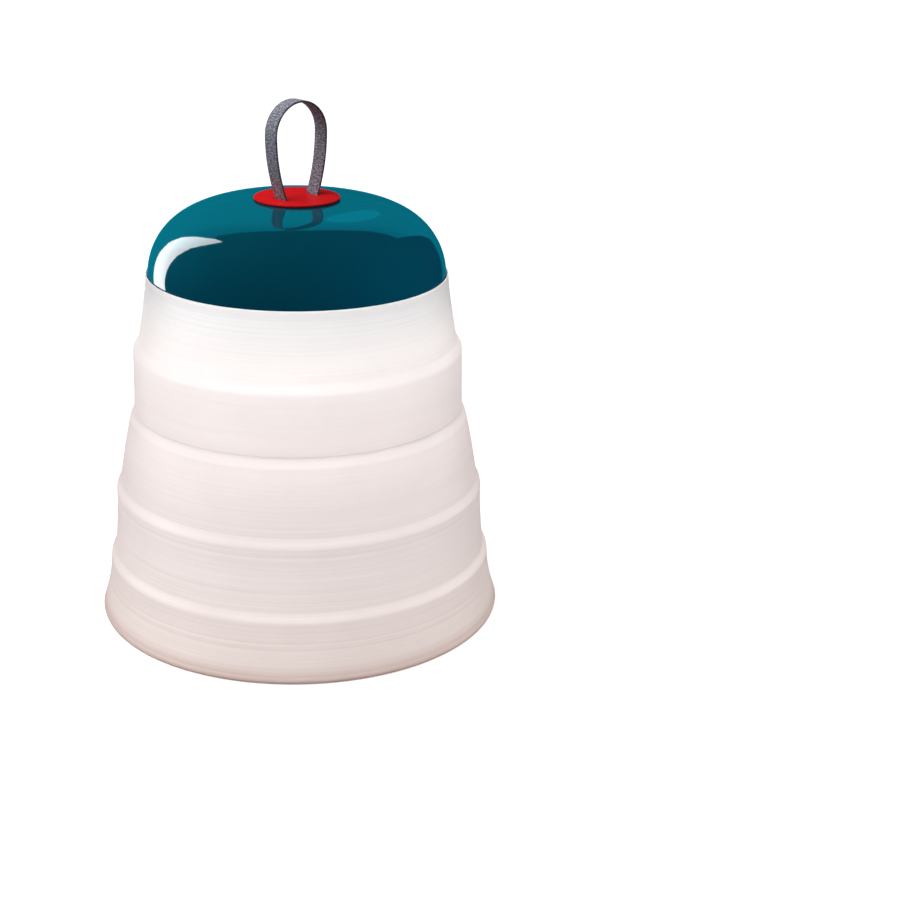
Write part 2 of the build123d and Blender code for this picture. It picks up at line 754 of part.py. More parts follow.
def lead(points, bend):
    """Round lead along straight runs joined by tangent arcs; prints its length and bends."""
    path = FilletPolyline(*points, radius=bend)
    profile = Plane(origin=path @ 0, z_dir=path % 0) * Circle(LEAD_RADIUS)
    print(f"lead of {path.length:.1f} mm, bends {bend} mm")
    return sweep(profile, path=path)


def above_socket(x, y, rise):
    """A point over one of the board's sockets; zero rise is on the socket."""
    return (x, y, BOARD_Z + BOARD_THICK + SOCKET_HEIGHT + rise)


def behind_shoulder(azimuth, depth):
    """A point under the dome's shoulder, at one depth along its normal."""
    place = shoulder_plane(azimuth)
    return tuple(place.origin - place.z_dir * depth)


def battery_lead():
    """From the cell tab out of the tray's notch and over to the board."""
    start = (-32.9, -3.2, 251.0)
    rise = (-32.0, 8.0, 256.5)
    return lead([start, rise, above_socket(-31.0, 20.0, 7.0), above_socket(-31.0, 30.0, 4.5),
                 above_socket(-31.0, 30.0, 0.0)], 2.5)


def led_lead():
    """From the board down through the tray to the light board."""
    down = above_socket(0.0, LED_LEAD_Y, 5.8)
    return lead([above_socket(0.0, 14.4, 0.0), above_socket(0.0, 14.4, 5.8), down,
                 (0.0, LED_LEAD_Y, LED_BOARD_TOP_Z)], 4.0)


def port_lead():
    """From the control board to the back of the port's board."""
    deep = PORT_BOARD_DEPTH[0]
    return lead([above_socket(31.0, 30.0, 0.0), above_socket(31.0, 30.0, 5.0),
                 above_socket(43.0, 34.0, 3.8), behind_shoulder(PORT_AZIMUTH, deep + 12.0),
                 behind_shoulder(PORT_AZIMUTH, deep)], 3.4)


def button_lead():
    """From the control board to the back of the button's board."""
    deep = BUTTON_BOARD_DEPTH[0]
    return lead([above_socket(0.0, 43.6, 0.0), above_socket(0.0, 43.6, 4.6),
                 above_socket(10.0, 52.0, 4.3), behind_shoulder(BUTTON_AZIMUTH, deep + 10.0),
                 behind_shoulder(BUTTON_AZIMUTH, deep)], 3.0)


# ---- build ----------------------------------------------------------------------------------

def main():
    os.makedirs("parts", exist_ok=True)
    half = BODY_GAP / 2
    nodes = {
        "diffuser_skirt": wall_piece(0.0, LOWER_LIP_Z),
        "lower_fold": wall_piece(LOWER_LIP_Z, VALLEY_Z - half),
        "diffuser_ring": wall_piece(VALLEY_Z + half, UPPER_LIP_Z),
        "upper_fold": wall_piece(UPPER_LIP_Z, FOLD_END_Z - half),
        "diffuser_rim": diffuser_rim(),
        "dome_cap": dome_cap(),
        "clamp_ring": clamp_ring(),
        "clamp_screws": clamp_screws(),
        "chassis_plate": chassis_plate(),
        "chassis_screws": chassis_screws(),
        "heat_spreader": heat_spreader(),
        "led_board": led_board(),
        "leds": leds(),
        "led_lens": led_lens(),
        "lens_ring": lens_ring(),
        "lens_screws": lens_screws(),
        "battery_holder": battery_holder(),
        "battery_cells": battery_cells(),
        "cell_tabs": cell_tabs(),
        "battery_cover": battery_cover(),
        "battery_screws": battery_screws(),
        "control_board": control_board(),
        "board_screws": board_screws(),
        "board_inductor": board_inductor(),
        "board_capacitors": board_capacitors(),
        "board_chips": board_chips(),
        "board_sockets": board_sockets(),
        "port_bezel": port_bezel(),
        "port_cover": port_cover(),
        "cover_pin": cover_pin(),
        "usb_socket": usb_socket(),
        "usb_tongue": usb_tongue(),
        "port_board": port_board(),
        "port_screws": shoulder_screws(PORT_AZIMUTH, PORT_BOARD_DEPTH[0], PORT_SCREW_X),
        "button_bezel": button_bezel(),
        "power_button": power_button(),
        "button_spring": button_spring(),
        "tact_switch": tact_switch(),
        "button_board": button_board(),
        "button_screws": shoulder_screws(BUTTON_AZIMUTH, BUTTON_BOARD_DEPTH[0], BUTTON_SCREW_X),
        "disc_gasket": disc_gasket(),
        "handle_disc": handle_disc(),
        "anchor_plate": anchor_plate(),
        "disc_nuts": disc_nuts(),
        "strap_loop": strap_loop(),
        "strap_tails": strap_tails(),
        "strap_bars": strap_bars(),
        "battery_lead": battery_lead(),
        "led_lead": led_lead(),
        "port_lead": port_lead(),
        "button_lead": button_lead(),
    }
    for node, shape in nodes.items():
        save(shape, node)


main()
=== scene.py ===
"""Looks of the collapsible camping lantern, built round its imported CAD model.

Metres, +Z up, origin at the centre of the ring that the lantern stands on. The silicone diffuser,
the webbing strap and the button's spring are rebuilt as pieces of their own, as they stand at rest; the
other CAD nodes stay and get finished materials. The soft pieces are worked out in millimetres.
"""

import json
from math import cos, pi, radians, sin, tau

import bpy
import numpy as np
from mathutils import Matrix, Vector


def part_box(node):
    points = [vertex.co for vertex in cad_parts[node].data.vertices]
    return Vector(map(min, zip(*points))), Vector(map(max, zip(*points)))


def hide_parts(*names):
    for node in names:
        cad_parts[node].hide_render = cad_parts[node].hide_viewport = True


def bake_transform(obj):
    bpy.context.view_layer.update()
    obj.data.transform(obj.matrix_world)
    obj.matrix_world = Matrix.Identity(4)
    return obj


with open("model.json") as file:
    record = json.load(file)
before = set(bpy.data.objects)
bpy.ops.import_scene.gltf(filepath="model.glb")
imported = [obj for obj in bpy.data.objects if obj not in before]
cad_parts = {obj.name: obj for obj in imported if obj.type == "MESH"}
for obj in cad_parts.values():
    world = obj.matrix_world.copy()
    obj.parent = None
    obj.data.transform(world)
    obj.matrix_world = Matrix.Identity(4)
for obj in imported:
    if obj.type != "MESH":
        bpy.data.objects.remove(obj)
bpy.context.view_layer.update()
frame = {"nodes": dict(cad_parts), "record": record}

MM = 0.001

# ---- shape of the diffuser ------------------------------------------------------------------

# five bands as (lower radius, upper radius, lower height, upper height, sag at mid height)
BANDS = (
    (135.0, 128.1, 3.0, 38.5, 1.3),
    (124.8, 122.4, 46.0, 86.5, 0.5),
    (119.3, 111.8, 94.5, 134.5, -0.4),
    (108.7, 107.9, 141.5, 181.5, 0.1),
    (104.0, 98.3, 189.5, 226.0, 0.3),
)
# the hem's rounding as (across, up), and its inner corner as (in from the rounding, up)
HEM_ROUND = (3.2, 3.5)
HEM_CORNER = (0.6, 0.15)

# the two folds, as (last height that stays with the lower body, first height that moves with the upper)
LOWER_FOLD = (60.0, 117.0)
UPPER_FOLD = (173.0, 228.0)

# the wall, thinner round the creases at both ends of a fold and round the seam of the two pieces
WALL = 1.7
FOLD_WALL = 0.7
FOLD_SPREAD = 7.0
CREASE_SHARE = 0.092
SEAM_Z = 142.5
SEAM_WALL = 0.25
SEAM_SPREAD = 3.0

# the lip over the dome's edge, and the flange under it that is clamped in the head
RIM_Z = 232.4
RIM_RADIUS = 98.0
LIP_DROP = 1.0
DOME_RADIUS = 96.9
FLANGE_RADIUS = 90.0
FLANGE_Z = (228.15, 229.4)

# fine moulding lines round the wall, as (height, depth)
LINES = ((5.6, 0.22), (21.5, 0.20), (26.0, 0.12), (57.5, 0.10), (81.5, 0.14))
LINE_WIDTH = 0.8
# finer ridges of these lengths along the wall, each of which fades in and out round it
RIDGE_LENGTHS = (1.7, 2.1, 2.6, 3.3, 4.4, 6.1)
RIDGE_DEPTH = 0.016
RIDGE_FADE = 0.4
RIDGE_FADE_TWIST = 17.0
RIDGE_SEED = 7
# slow wander of the whole wall, as (depth, lobes round it, offset, height per radian of twist)
WANDER = ((0.09, 2, 0.0, 60.0), (0.06, 3, 1.3, -45.0))
# heights over which the unevenness dies away at the hem and at the rim
STILL_HEM = 4.0
STILL_RIM = 6.0

# how finely the diffuser is divided
RING_STEP = 0.5
INNER_STEP = 1.5
AROUND = 256
HEM_STEPS = 10
LIP_STEPS = 8

# ---- shape of the strap ---------------------------------------------------------------------

STRAP_WIDTH = 11.5
STRAP_THICK = 1.3
STRAP_FOOT_X = 13.0
STRAP_BULGE_X = 20.6
STRAP_BULGE_Z = 321.2

# the sewn eye round each bar: its gap, where it starts, and the height over which it comes into line
BAR_Z = 266.0
BAR_RADIUS = 1.5
EYE_GAP = 0.05
EYE_START = -160
EYE_RISE = 7.0

# the weave: yarns across, rows along, and the wave that the rows give the selvedges
YARN_PITCH = 0.82
ROW_PITCH = 0.95
WEAVE_DEPTH = 0.07
WEAVE_SHARPNESS = 4
SELVEDGE_WAVE = 0.06

# how finely the strap is divided
STRAP_STEP = 0.3
FLAT_POINTS = 40
SELVEDGE_STEPS = 6


# ---- mesh helpers ---------------------------------------------------------------------------

def new_piece(name, points, faces, uv):
    """A smooth-shaded mesh object from points in millimetres, with a UV pair for each point."""
    mesh = bpy.data.meshes.new(name)
    mesh.from_pydata([tuple(p) for p in points * MM], [], faces)
    mesh.shade_smooth()
    layer = mesh.uv_layers.new(name="surface")
    corners = np.zeros(len(mesh.loops), np.int32)
    mesh.loops.foreach_get("vertex_index", corners)
    layer.data.foreach_set("uv", uv.astype(np.float32)[corners].ravel())
    piece = bpy.data.objects.new(name, mesh)
    bpy.context.scene.collection.objects.link(piece)
    return piece


def grid_faces(rows, columns):
    """Quads of a grid of points, row after row, that closes both ways."""
    faces = []
    for i in range(rows):
        here, above = i * columns, (i + 1) % rows * columns
        for j in range(columns):
            k = (j + 1) % columns
            faces.append((here + j, here + k, above + k, above + j))
    return faces


def lathe(name, outline, wobble):
    """A closed (radius, height) outline turned about Z; UV holds (share of a turn, rest height).

    wobble gives what is added to the radius at each turn and height.
    """
    turns = np.arange(AROUND) * tau / AROUND
    radius, height = (np.array(side)[:, None] for side in zip(*outline))
    full = radius + wobble(turns[None, :], height)
    points = np.stack([full * np.cos(turns), full * np.sin(turns), height + 0.0 * turns], -1)
    uv = np.stack([turns / tau + 0.0 * height, height * MM + 0.0 * turns], -1)
    faces = grid_faces(len(outline), AROUND)
    return new_piece(name, points.reshape(-1, 3), faces, uv.reshape(-1, 2))


# ---- silicone diffuser ----------------------------------------------------------------------

def smooth(share):
    """Eases a share from 0 to 1, level at both ends."""
    return share * share * (3 - 2 * share)


def band_radius(height):
    """Outer radius of the diffuser's wall: sagging bands joined by soft shoulders."""
    for number, (low_r, high_r, low_z, high_z, sag) in enumerate(BANDS):
        if height <= high_z:
            if height >= low_z:
                share = (height - low_z) / (high_z - low_z)
                return low_r + (high_r - low_r) * share - 4 * sag * share * (1 - share)
            before_r, before_z = BANDS[number - 1][1], BANDS[number - 1][3]
            return before_r + (low_r - before_r) * smooth((height - before_z) / (low_z - before_z))
    top_r, top_z = BANDS[-1][1], BANDS[-1][3]
    return top_r + (RIM_RADIUS - top_r) * (height - top_z) / (RIM_Z - top_z)


def wall_at(height):
    """Wall thickness, thinner where the wall turns over and where the two pieces meet."""
    def thinned(wall, centre, spread):
        return (WALL - wall) * np.exp(-((height - centre) / spread) ** 2)

    thinning = thinned(SEAM_WALL, SEAM_Z, SEAM_SPREAD)
    for low, high in (LOWER_FOLD, UPPER_FOLD):
        inset = CREASE_SHARE * (high - low)
        for crease in (low + inset, high - inset):
            thinning = max(thinning, thinned(FOLD_WALL, crease, FOLD_SPREAD))
    return WALL - thinning


def heights(low, high, step):
    """Even heights from low to high, about a step apart."""
    count = max(1, round((high - low) / step))
    return [low + (high - low) * i / count for i in range(count + 1)]


def outer_wall(low, high):
    """The wall's outside, from the bottom up."""
    return [(band_radius(z), z) for z in heights(low, high, RING_STEP)]


def inner_wall(low, high):
    """The wall's inside, from the top down."""
    return [(band_radius(z) - wall_at(z), z) for z in reversed(heights(low, high, INNER_STEP))]


def hem():
    """The rounded bottom edge, from the inside of the wall round to its outside."""
    outside_r, (across, up) = BANDS[0][0], HEM_ROUND
    turns = [radians(270 + 90 * i / HEM_STEPS) for i in range(HEM_STEPS)]
    outside = [(outside_r - across + across * cos(a), up + up * sin(a)) for a in turns]
    return [(outside_r - across - HEM_CORNER[0], HEM_CORNER[1]), *outside]


def lip():
    """The rounded top edge, from the outside of the wall over to the dome."""
    middle, half = (RIM_RADIUS + DOME_RADIUS) / 2, (RIM_RADIUS - DOME_RADIUS) / 2
    turns = [pi * i / LIP_STEPS for i in range(1, LIP_STEPS + 1)]
    return [(middle + half * cos(a), RIM_Z - half + half * sin(a)) for a in turns]


def striations():
    """The wall's unevenness: seeded fine ridges that run round it, slow wander and moulding lines."""
    draw = np.random.default_rng(RIDGE_SEED)
    ridges = []
    for length in RIDGE_LENGTHS:
        ridges.append((length, draw.uniform(0, tau), draw.integers(1, 5), draw.uniform(0, tau)))

    def wobble(turns, height):
        total = 0.0 * turns * height
        for length, phase, lobes, offset in ridges:
            place = lobes * turns + offset + height / RIDGE_FADE_TWIST
            fade = 1 - RIDGE_FADE + RIDGE_FADE * np.sin(place)
            total = total + RIDGE_DEPTH * fade * np.sin(tau * height / length + phase)
        for depth, lobes, offset, twist in WANDER:
            total = total + depth * np.sin(lobes * turns + offset + height / twist)
        for at, depth in LINES:
            total = total - depth * np.exp(-((height - at) / LINE_WIDTH) ** 2)
        return total * np.clip(height / STILL_HEM, 0, 1) * np.clip((RIM_Z - height) / STILL_RIM, 0, 1)

    return wobble


def lower_silicone():
    """Diffuser from its hem to the seam that is hidden in the third shoulder."""
    low = HEM_ROUND[1]
    outline = hem() + outer_wall(low, SEAM_Z) + inner_wall(low, SEAM_Z)
    piece = lathe("lower_silicone", outline, striations())
    piece.data.materials.append(materials["silicone"])
    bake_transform(piece)
    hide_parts("diffuser_skirt", "lower_fold")


def upper_silicone():
    """Diffuser from the hidden seam to the lip over the dome's edge, with its clamped flange."""
    low, high = FLANGE_Z
    flange = [(DOME_RADIUS, high), (FLANGE_RADIUS, high), (FLANGE_RADIUS, low)]
    outline = outer_wall(SEAM_Z, RIM_Z - LIP_DROP) + lip() + flange + inner_wall(SEAM_Z, low)
    piece = lathe("upper_silicone", outline, striations())
    piece.data.materials.append(materials["silicone"])
    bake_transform(piece)
    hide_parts("diffuser_ring", "upper_fold", "diffuser_rim")


# ---- webbing strap --------------------------------------------------------------------------

def arc_points(centre, radius, start, end, step):
    """Points along an arc in the XZ plane, between two angles in degrees from +X."""
    count = max(2, round(abs(radians(end - start)) * radius / step))
    turns = [radians(start + (end - start) * i / count) for i in range(count + 1)]
    return [(centre[0] + radius * cos(t), centre[1] + radius * sin(t)) for t in turns]


def line_points(a, b, step):
    """Points along a straight line in the XZ plane."""
    across, up = b[0] - a[0], b[1] - a[1]
    count = max(1, round(np.hypot(across, up) / step))
    return [(a[0] + across * i / count, a[1] + up * i / count) for i in range(count + 1)]


def strap_line():
    """Centre line of one half of the strap, from its sewn eye round the bar up to the loop's top."""
    disc_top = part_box("handle_disc")[1].z / MM
    eye_radius = BAR_RADIUS + EYE_GAP + STRAP_THICK / 2
    eye = arc_points((STRAP_FOOT_X, BAR_Z), eye_radius, EYE_START, 0, STRAP_STEP)
    rise = line_points(eye[-1], (STRAP_FOOT_X, BAR_Z + EYE_RISE), STRAP_STEP)
    through = line_points(rise[-1], (STRAP_FOOT_X, disc_top), STRAP_STEP)
    lean, height = STRAP_BULGE_X - STRAP_FOOT_X, STRAP_BULGE_Z - disc_top
    leg_radius = (height ** 2 + lean ** 2) / (2 * lean)
    sweep = np.degrees(np.arcsin(height / leg_radius))
    leg = arc_points((STRAP_BULGE_X - leg_radius, STRAP_BULGE_Z), leg_radius, -sweep, 0, STRAP_STEP)
    top = arc_points((0, STRAP_BULGE_Z), STRAP_BULGE_X, 0, 90, STRAP_STEP)
    return eye + rise[1:] + through[1:] + leg[1:] + top[1:]


def evenly(points, step):
    """The same line with its points about a step apart, and how far along it each one lies."""
    line = np.array(points)
    along = np.concatenate([[0], np.cumsum(np.hypot(*np.diff(line, axis=0).T))])
    at = np.linspace(0, along[-1], round(along[-1] / step) + 1)
    return np.stack([np.interp(at, along, line[:, k]) for k in range(2)], -1), at


def webbing_section():
    """Outline across the webbing, as (place across it, place through it), with round selvedges."""
    half_t = STRAP_THICK / 2
    flat = STRAP_WIDTH / 2 - half_t
    across = np.linspace(-flat, flat, FLAT_POINTS)

    def selvedge(centre, start):
        turns = [start - pi * i / SELVEDGE_STEPS for i in range(1, SELVEDGE_STEPS)]
        return [(centre + half_t * cos(a), half_t * sin(a)) for a in turns]

    face = [(u, half_t) for u in across]
    back = [(u, -half_t) for u in across[::-1]]
    return np.array(face + selvedge(flat, pi / 2) + back + selvedge(-flat, -pi / 2))


def strap():
    """One continuous band of woven webbing, sewn round a bar at each end."""
    half = np.array(strap_line())
    mirrored = half[::-1][1:] * [-1, 1]
    line, along = evenly(np.concatenate([half, mirrored]), STRAP_STEP)
    tangent = np.gradient(line, axis=0)
    tangent /= np.linalg.norm(tangent, axis=1)[:, None]
    normal = np.stack([tangent[:, 1], -tangent[:, 0]], -1)
    across, side = webbing_section().T
    relief = np.sin(pi * across[None, :] / YARN_PITCH) * np.sin(pi * along[:, None] / ROW_PITCH)
    flat_part = np.clip(np.abs(side) / (STRAP_THICK / 2), 0, 1) ** WEAVE_SHARPNESS
    out = side[None, :] + WEAVE_DEPTH * relief * flat_part * np.sign(side)
    wave = np.sin(tau * along[:, None] / (2 * ROW_PITCH))
    edge = across[None, :] + SELVEDGE_WAVE * wave * (1 - flat_part)
    points = np.stack([
        line[:, None, 0] + normal[:, None, 0] * out,
        edge + 0 * out,
        line[:, None, 1] + normal[:, None, 1] * out,
    ], -1)
    uv = np.stack([across[None, :] * MM + 0 * out, along[:, None] * MM + 0 * out], -1)
    rows, columns = out.shape
    last = (rows - 1) * columns
    faces = grid_faces(rows, columns)[:last]
    faces += [tuple(range(columns)), tuple(last + j for j in reversed(range(columns)))]
    piece = new_piece("strap", points.reshape(-1, 3), faces, uv.reshape(-1, 2))
    piece.data.materials.append(materials["webbing"])
    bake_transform(piece)
    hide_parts("strap_loop", "strap_tails")


def return_spring():
    """The button's return spring, whose coils close up as the button goes in, copied as it stands at rest.
    """
    node = frame["nodes"]["button_spring"]
    piece = bpy.data.objects.new("return_spring", node.data.copy())
    bpy.context.scene.collection.objects.link(piece)
    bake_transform(piece)
    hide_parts("button_spring")


# ---- material helpers -----------------------------------------------------------------------

def rgba(value):
    """A colour with its alpha; a node's socket stays as it is."""
    return (*value, 1) if isinstance(value, tuple) else value


def set_stops(node, stops):
    """Gives a colour ramp its (place, colour or grey) stops."""
    elements = node.color_ramp.elements
    while len(elements) < len(stops):
        elements.new(0.5)
    for element, (position, value) in zip(elements, stops):
        element.position = position
        element.color = rgba(value if isinstance(value, tuple) else (value,) * 3)


class Shader:
    """A node material being wired up: its principled shader and short calls for common nodes."""

    def __init__(self, name, **settings):
        self.material = bpy.data.materials.new(name)
        self.material.use_nodes = True
        self.tree = self.material.node_tree
        self.surface = self.tree.nodes["Principled BSDF"]
        self.coordinates = self.tree.nodes.new("ShaderNodeTexCoord")
        self.place = self.coordinates.outputs["Object"]
        self.relief = None
        self.set(**settings)

    def set(self, **settings):
        for key, value in settings.items():
            self.surface.inputs[key.replace("_", " ")].default_value = value

    def node(self, kind, **inputs):
        made = self.tree.nodes.new(kind)
        for key, value in inputs.items():
            self.feed(made.inputs[key.replace("_", " ")], value)
        return made

    def feed(self, socket, value):
        if isinstance(value, bpy.types.NodeSocket):
            self.tree.links.new(value, socket)
        else:
            socket.default_value = value

    def scaled(self, x, y, z, source=None):
        """Coordinates scaled along each axis."""
        made = self.node("ShaderNodeMapping", Vector=source or self.place)
        made.inputs["Scale"].default_value = (x, y, z)
        return made.outputs["Vector"]

    def noise(self, scale, detail=2.0, roughness=0.5, source=None):
        made = self.node("ShaderNodeTexNoise", Vector=source or self.place, Scale=scale, Detail=detail,
                         Roughness=roughness)
        return made.outputs["Fac"]

    def ramp(self, factor, *stops):
        """A colour or grey ramp through (place, value) stops."""
        made = self.node("ShaderNodeValToRGB", Fac=factor)
        set_stops(made, stops)
        return made.outputs["Color"]

    def math(self, operation, a, b=0.0):
        made = self.tree.nodes.new("ShaderNodeMath")
        made.operation = operation
        self.feed(made.inputs[0], a)
        self.feed(made.inputs[1], b)
        return made.outputs["Value"]

    def mix(self, factor, a, b):
        made = self.tree.nodes.new("ShaderNodeMix")
        made.data_type = "RGBA"
        self.feed(made.inputs["Factor"], factor)
        for key, value in (("A", a), ("B", b)):
            socket = next(s for s in made.inputs if s.name == key and s.type == "RGBA")
            self.feed(socket, rgba(value))
        return next(s for s in made.outputs if s.type == "RGBA")

    def blend_with(self, other, share):
        """Shows a share of another shader in place of the principled one."""
        made = self.node("ShaderNodeMixShader", Fac=share)
        self.tree.links.new(self.surface.outputs["BSDF"], made.inputs[1])
        self.tree.links.new(other.outputs["BSDF"], made.inputs[2])
        output = self.tree.nodes["Material Output"]
        self.tree.links.new(made.outputs["Shader"], output.inputs["Surface"])

    def colour(self, value):
        self.feed(self.surface.inputs["Base Color"], rgba(value))

    def roughness(self, value):
        self.feed(self.surface.inputs["Roughness"], value)

    def bump(self, height, strength, distance):
        """Adds one layer of relief, in metres, over the ones before it."""
        made = self.node("ShaderNodeBump", Height=height, Strength=strength, Distance=distance)
        if self.relief is not None:
            self.tree.links.new(self.relief, made.inputs["Normal"])
        self.relief = made.outputs["Normal"]
        self.tree.links.new(self.relief, self.surface.inputs["Normal"])


# ---- looks ----------------------------------------------------------------------------------

# the silicone's colour, with painted shade that makes it darker and pinker towards the hem and a little
# darker round the middle bands, and its share of light let through, from the hem (0) to the rim (1)
SILICONE_TONE_WITH_PAINTED_SHADE = (
    (0.0, (0.74, 0.60, 0.55)),
    (0.05, (0.925, 0.862, 0.838)),
    (0.28, (0.955, 0.912, 0.905)),
    (0.42, (0.930, 0.882, 0.875)),
    (0.70, (0.945, 0.912, 0.910)),
    (0.95, (0.960, 0.955, 0.955)),
)
CLEARNESS = ((0.0, 0.36), (0.88, 0.45), (0.98, 0.12))

# the dome's specular level, from a view straight on (0) to a grazing one (1), so that its
# reflections are about as strong all over
EVEN_GLOSS = (
    (0.55, 0.5),
    (0.60, 0.35),
    (0.65, 0.19),
    (0.70, 0.092),
    (0.75, 0.040),
    (0.80, 0.015),
    (0.85, 0.004),
    (0.90, 0.001),
    (1.00, 0.0),
)

# dark, middle and light yarns of the webbing
YARNS = (
    (0.42, (0.072, 0.074, 0.100)),
    (0.50, (0.212, 0.220, 0.278)),
    (0.59, (0.66, 0.67, 0.77)),
)

LAMP_GLOW = 4.3


def rest_place(shader):
    """Object coordinates at the height a point has at rest, so that relief stays with the wall.

    Returns them and that height.
    """
    here = shader.node("ShaderNodeSeparateXYZ", Vector=shader.place)
    flat = shader.node("ShaderNodeSeparateXYZ", Vector=shader.coordinates.outputs["UV"])
    height = flat.outputs["Y"]
    made = shader.node("ShaderNodeCombineXYZ", X=here.outputs["X"], Y=here.outputs["Y"], Z=height)
    return made.outputs["Vector"], height


def silicone():
    """Milky silicone that lets the lamp's light through, with fine moulding lines round it, and painted
    shade that darkens and pinks its colour towards the hem.
    """
    s = Shader("silicone", IOR=1.41)
    at, rest_height = rest_place(s)
    lines = s.noise(1.0, 3.0, 0.6, s.scaled(9, 9, 620, at))
    broad = s.noise(1.0, 2.0, 0.5, s.scaled(5, 5, 120, at))
    cloud = s.noise(28.0, 3.0, 0.55, at)
    drift = s.math("ADD", s.math("MULTIPLY", broad, 0.6), s.math("MULTIPLY", cloud, 0.4))
    height = s.math("DIVIDE", rest_height, RIM_Z * MM)
    # painted shade: the colour is darker and pinker towards the hem and lighter towards the rim, in the
    # surface and in the light let through
    tone = s.mix(s.ramp(drift, (0.35, 0.07), (0.65, 0.0)), s.ramp(height, *SILICONE_TONE_WITH_PAINTED_SHADE), (0.5, 0.42, 0.40))
    s.colour(tone)
    s.roughness(s.ramp(lines, (0.3, 0.34), (0.7, 0.50)))
    s.bump(lines, 0.5, 0.00018)
    s.bump(s.noise(900.0, 2.0, 0.6, at), 0.35, 0.00008)
    through = s.node("ShaderNodeBsdfTranslucent", Color=tone, Normal=s.relief)
    s.blend_with(through, s.ramp(height, *CLEARNESS))
    return s.material


def gloss_teal():
    """Deep teal, glossy moulded shell with a faint orange peel."""
    s = Shader("gloss_teal", Roughness=0.05, IOR=1.42)
    drift = s.noise(14.0, 2.0, 0.5)
    s.colour(s.ramp(drift, (0.3, (0.0002, 0.046, 0.068)), (0.7, (0.0003, 0.053, 0.077))))
    s.bump(s.noise(260.0, 1.0, 0.4), 0.12, 0.00002)
    grazing = s.node("ShaderNodeLayerWeight", Blend=0.5).outputs["Facing"]
    s.feed(s.surface.inputs["Specular IOR Level"], s.ramp(grazing, *EVEN_GLOSS))
    return s.material


def red_paint():
    """Powder-coated plate: saturated red with a fine satin grain."""
    s = Shader("red_paint", Roughness=0.45, Specular_IOR_Level=0.3)
    drift = s.noise(60.0, 3.0, 0.6)
    s.colour(s.ramp(drift, (0.3, (0.84, 0.005, 0.009)), (0.7, (0.93, 0.008, 0.013))))
    s.roughness(s.ramp(s.noise(900.0, 2.0, 0.6), (0.3, 0.38), (0.7, 0.55)))
    s.bump(s.noise(1400.0, 2.0, 0.6), 0.35, 0.00006)
    return s.material


def webbing():
    """Grey melange webbing: light and dark yarns in fine cross ribs, darker selvedges."""
    s = Shader("webbing", Roughness=0.88, Sheen_Weight=0.2, Sheen_Roughness=0.5)
    flat = s.coordinates.outputs["UV"]
    across = s.node("ShaderNodeSeparateXYZ", Vector=flat).outputs["X"]
    yarn = s.noise(1.0, 3.0, 0.7, s.scaled(480, 1150, 1, flat))
    tuft = s.noise(1.0, 2.0, 0.6, s.scaled(3600, 2600, 1, flat))
    mixed = s.math("ADD", s.math("MULTIPLY", yarn, 0.6), s.math("MULTIPLY", tuft, 0.4))
    edge = s.math("DIVIDE", s.math("ABSOLUTE", across), STRAP_WIDTH / 2 * MM)
    selvedge = s.ramp(edge, (0.80, 0.0), (0.97, 0.75))
    s.colour(s.mix(selvedge, s.ramp(mixed, *YARNS), (0.035, 0.034, 0.045)))
    s.bump(yarn, 0.5, 0.00008)
    s.bump(tuft, 0.5, 0.00005)
    return s.material


def moulded(name, low, high, rough=0.45, grain=500.0, relief=0.00004, **settings):
    """Moulded plastic or rubber with a spark-eroded grain."""
    s = Shader(name, **settings)
    s.colour(s.ramp(s.noise(40.0, 3.0, 0.6), (0.35, low), (0.65, high)))
    s.roughness(s.ramp(s.noise(grain / 3, 2.0, 0.6), (0.3, rough - 0.05), (0.7, rough + 0.07)))
    s.bump(s.noise(grain, 2.0, 0.6), 0.4, relief)
    return s.material


def metal(name, low, high, rough=0.3, stretch=(1, 1, 1)):
    """Bare metal with a drawn or brushed grain along one axis."""
    s = Shader(name, Metallic=1.0)
    grain = s.noise(600.0, 3.0, 0.6, s.scaled(*stretch))
    s.colour(s.ramp(s.noise(90.0, 3.0, 0.6), (0.3, low), (0.7, high)))
    s.roughness(s.ramp(grain, (0.3, rough - 0.06), (0.7, rough + 0.10)))
    s.bump(grain, 0.25, 0.00002)
    return s.material


def circuit_board(name, low, high):
    """Lacquered board with traces as a fine raised pattern."""
    s = Shader(name, Roughness=0.35, Coat_Weight=0.4, Coat_Roughness=0.15)
    cells = s.node("ShaderNodeTexVoronoi", Vector=s.place, Scale=420.0, Randomness=0.35)
    cells.distance = "CHEBYCHEV"
    s.colour(s.ramp(cells.outputs["Distance"], (0.25, high), (0.45, low)))
    s.bump(cells.outputs["Distance"], 0.3, 0.00003)
    return s.material


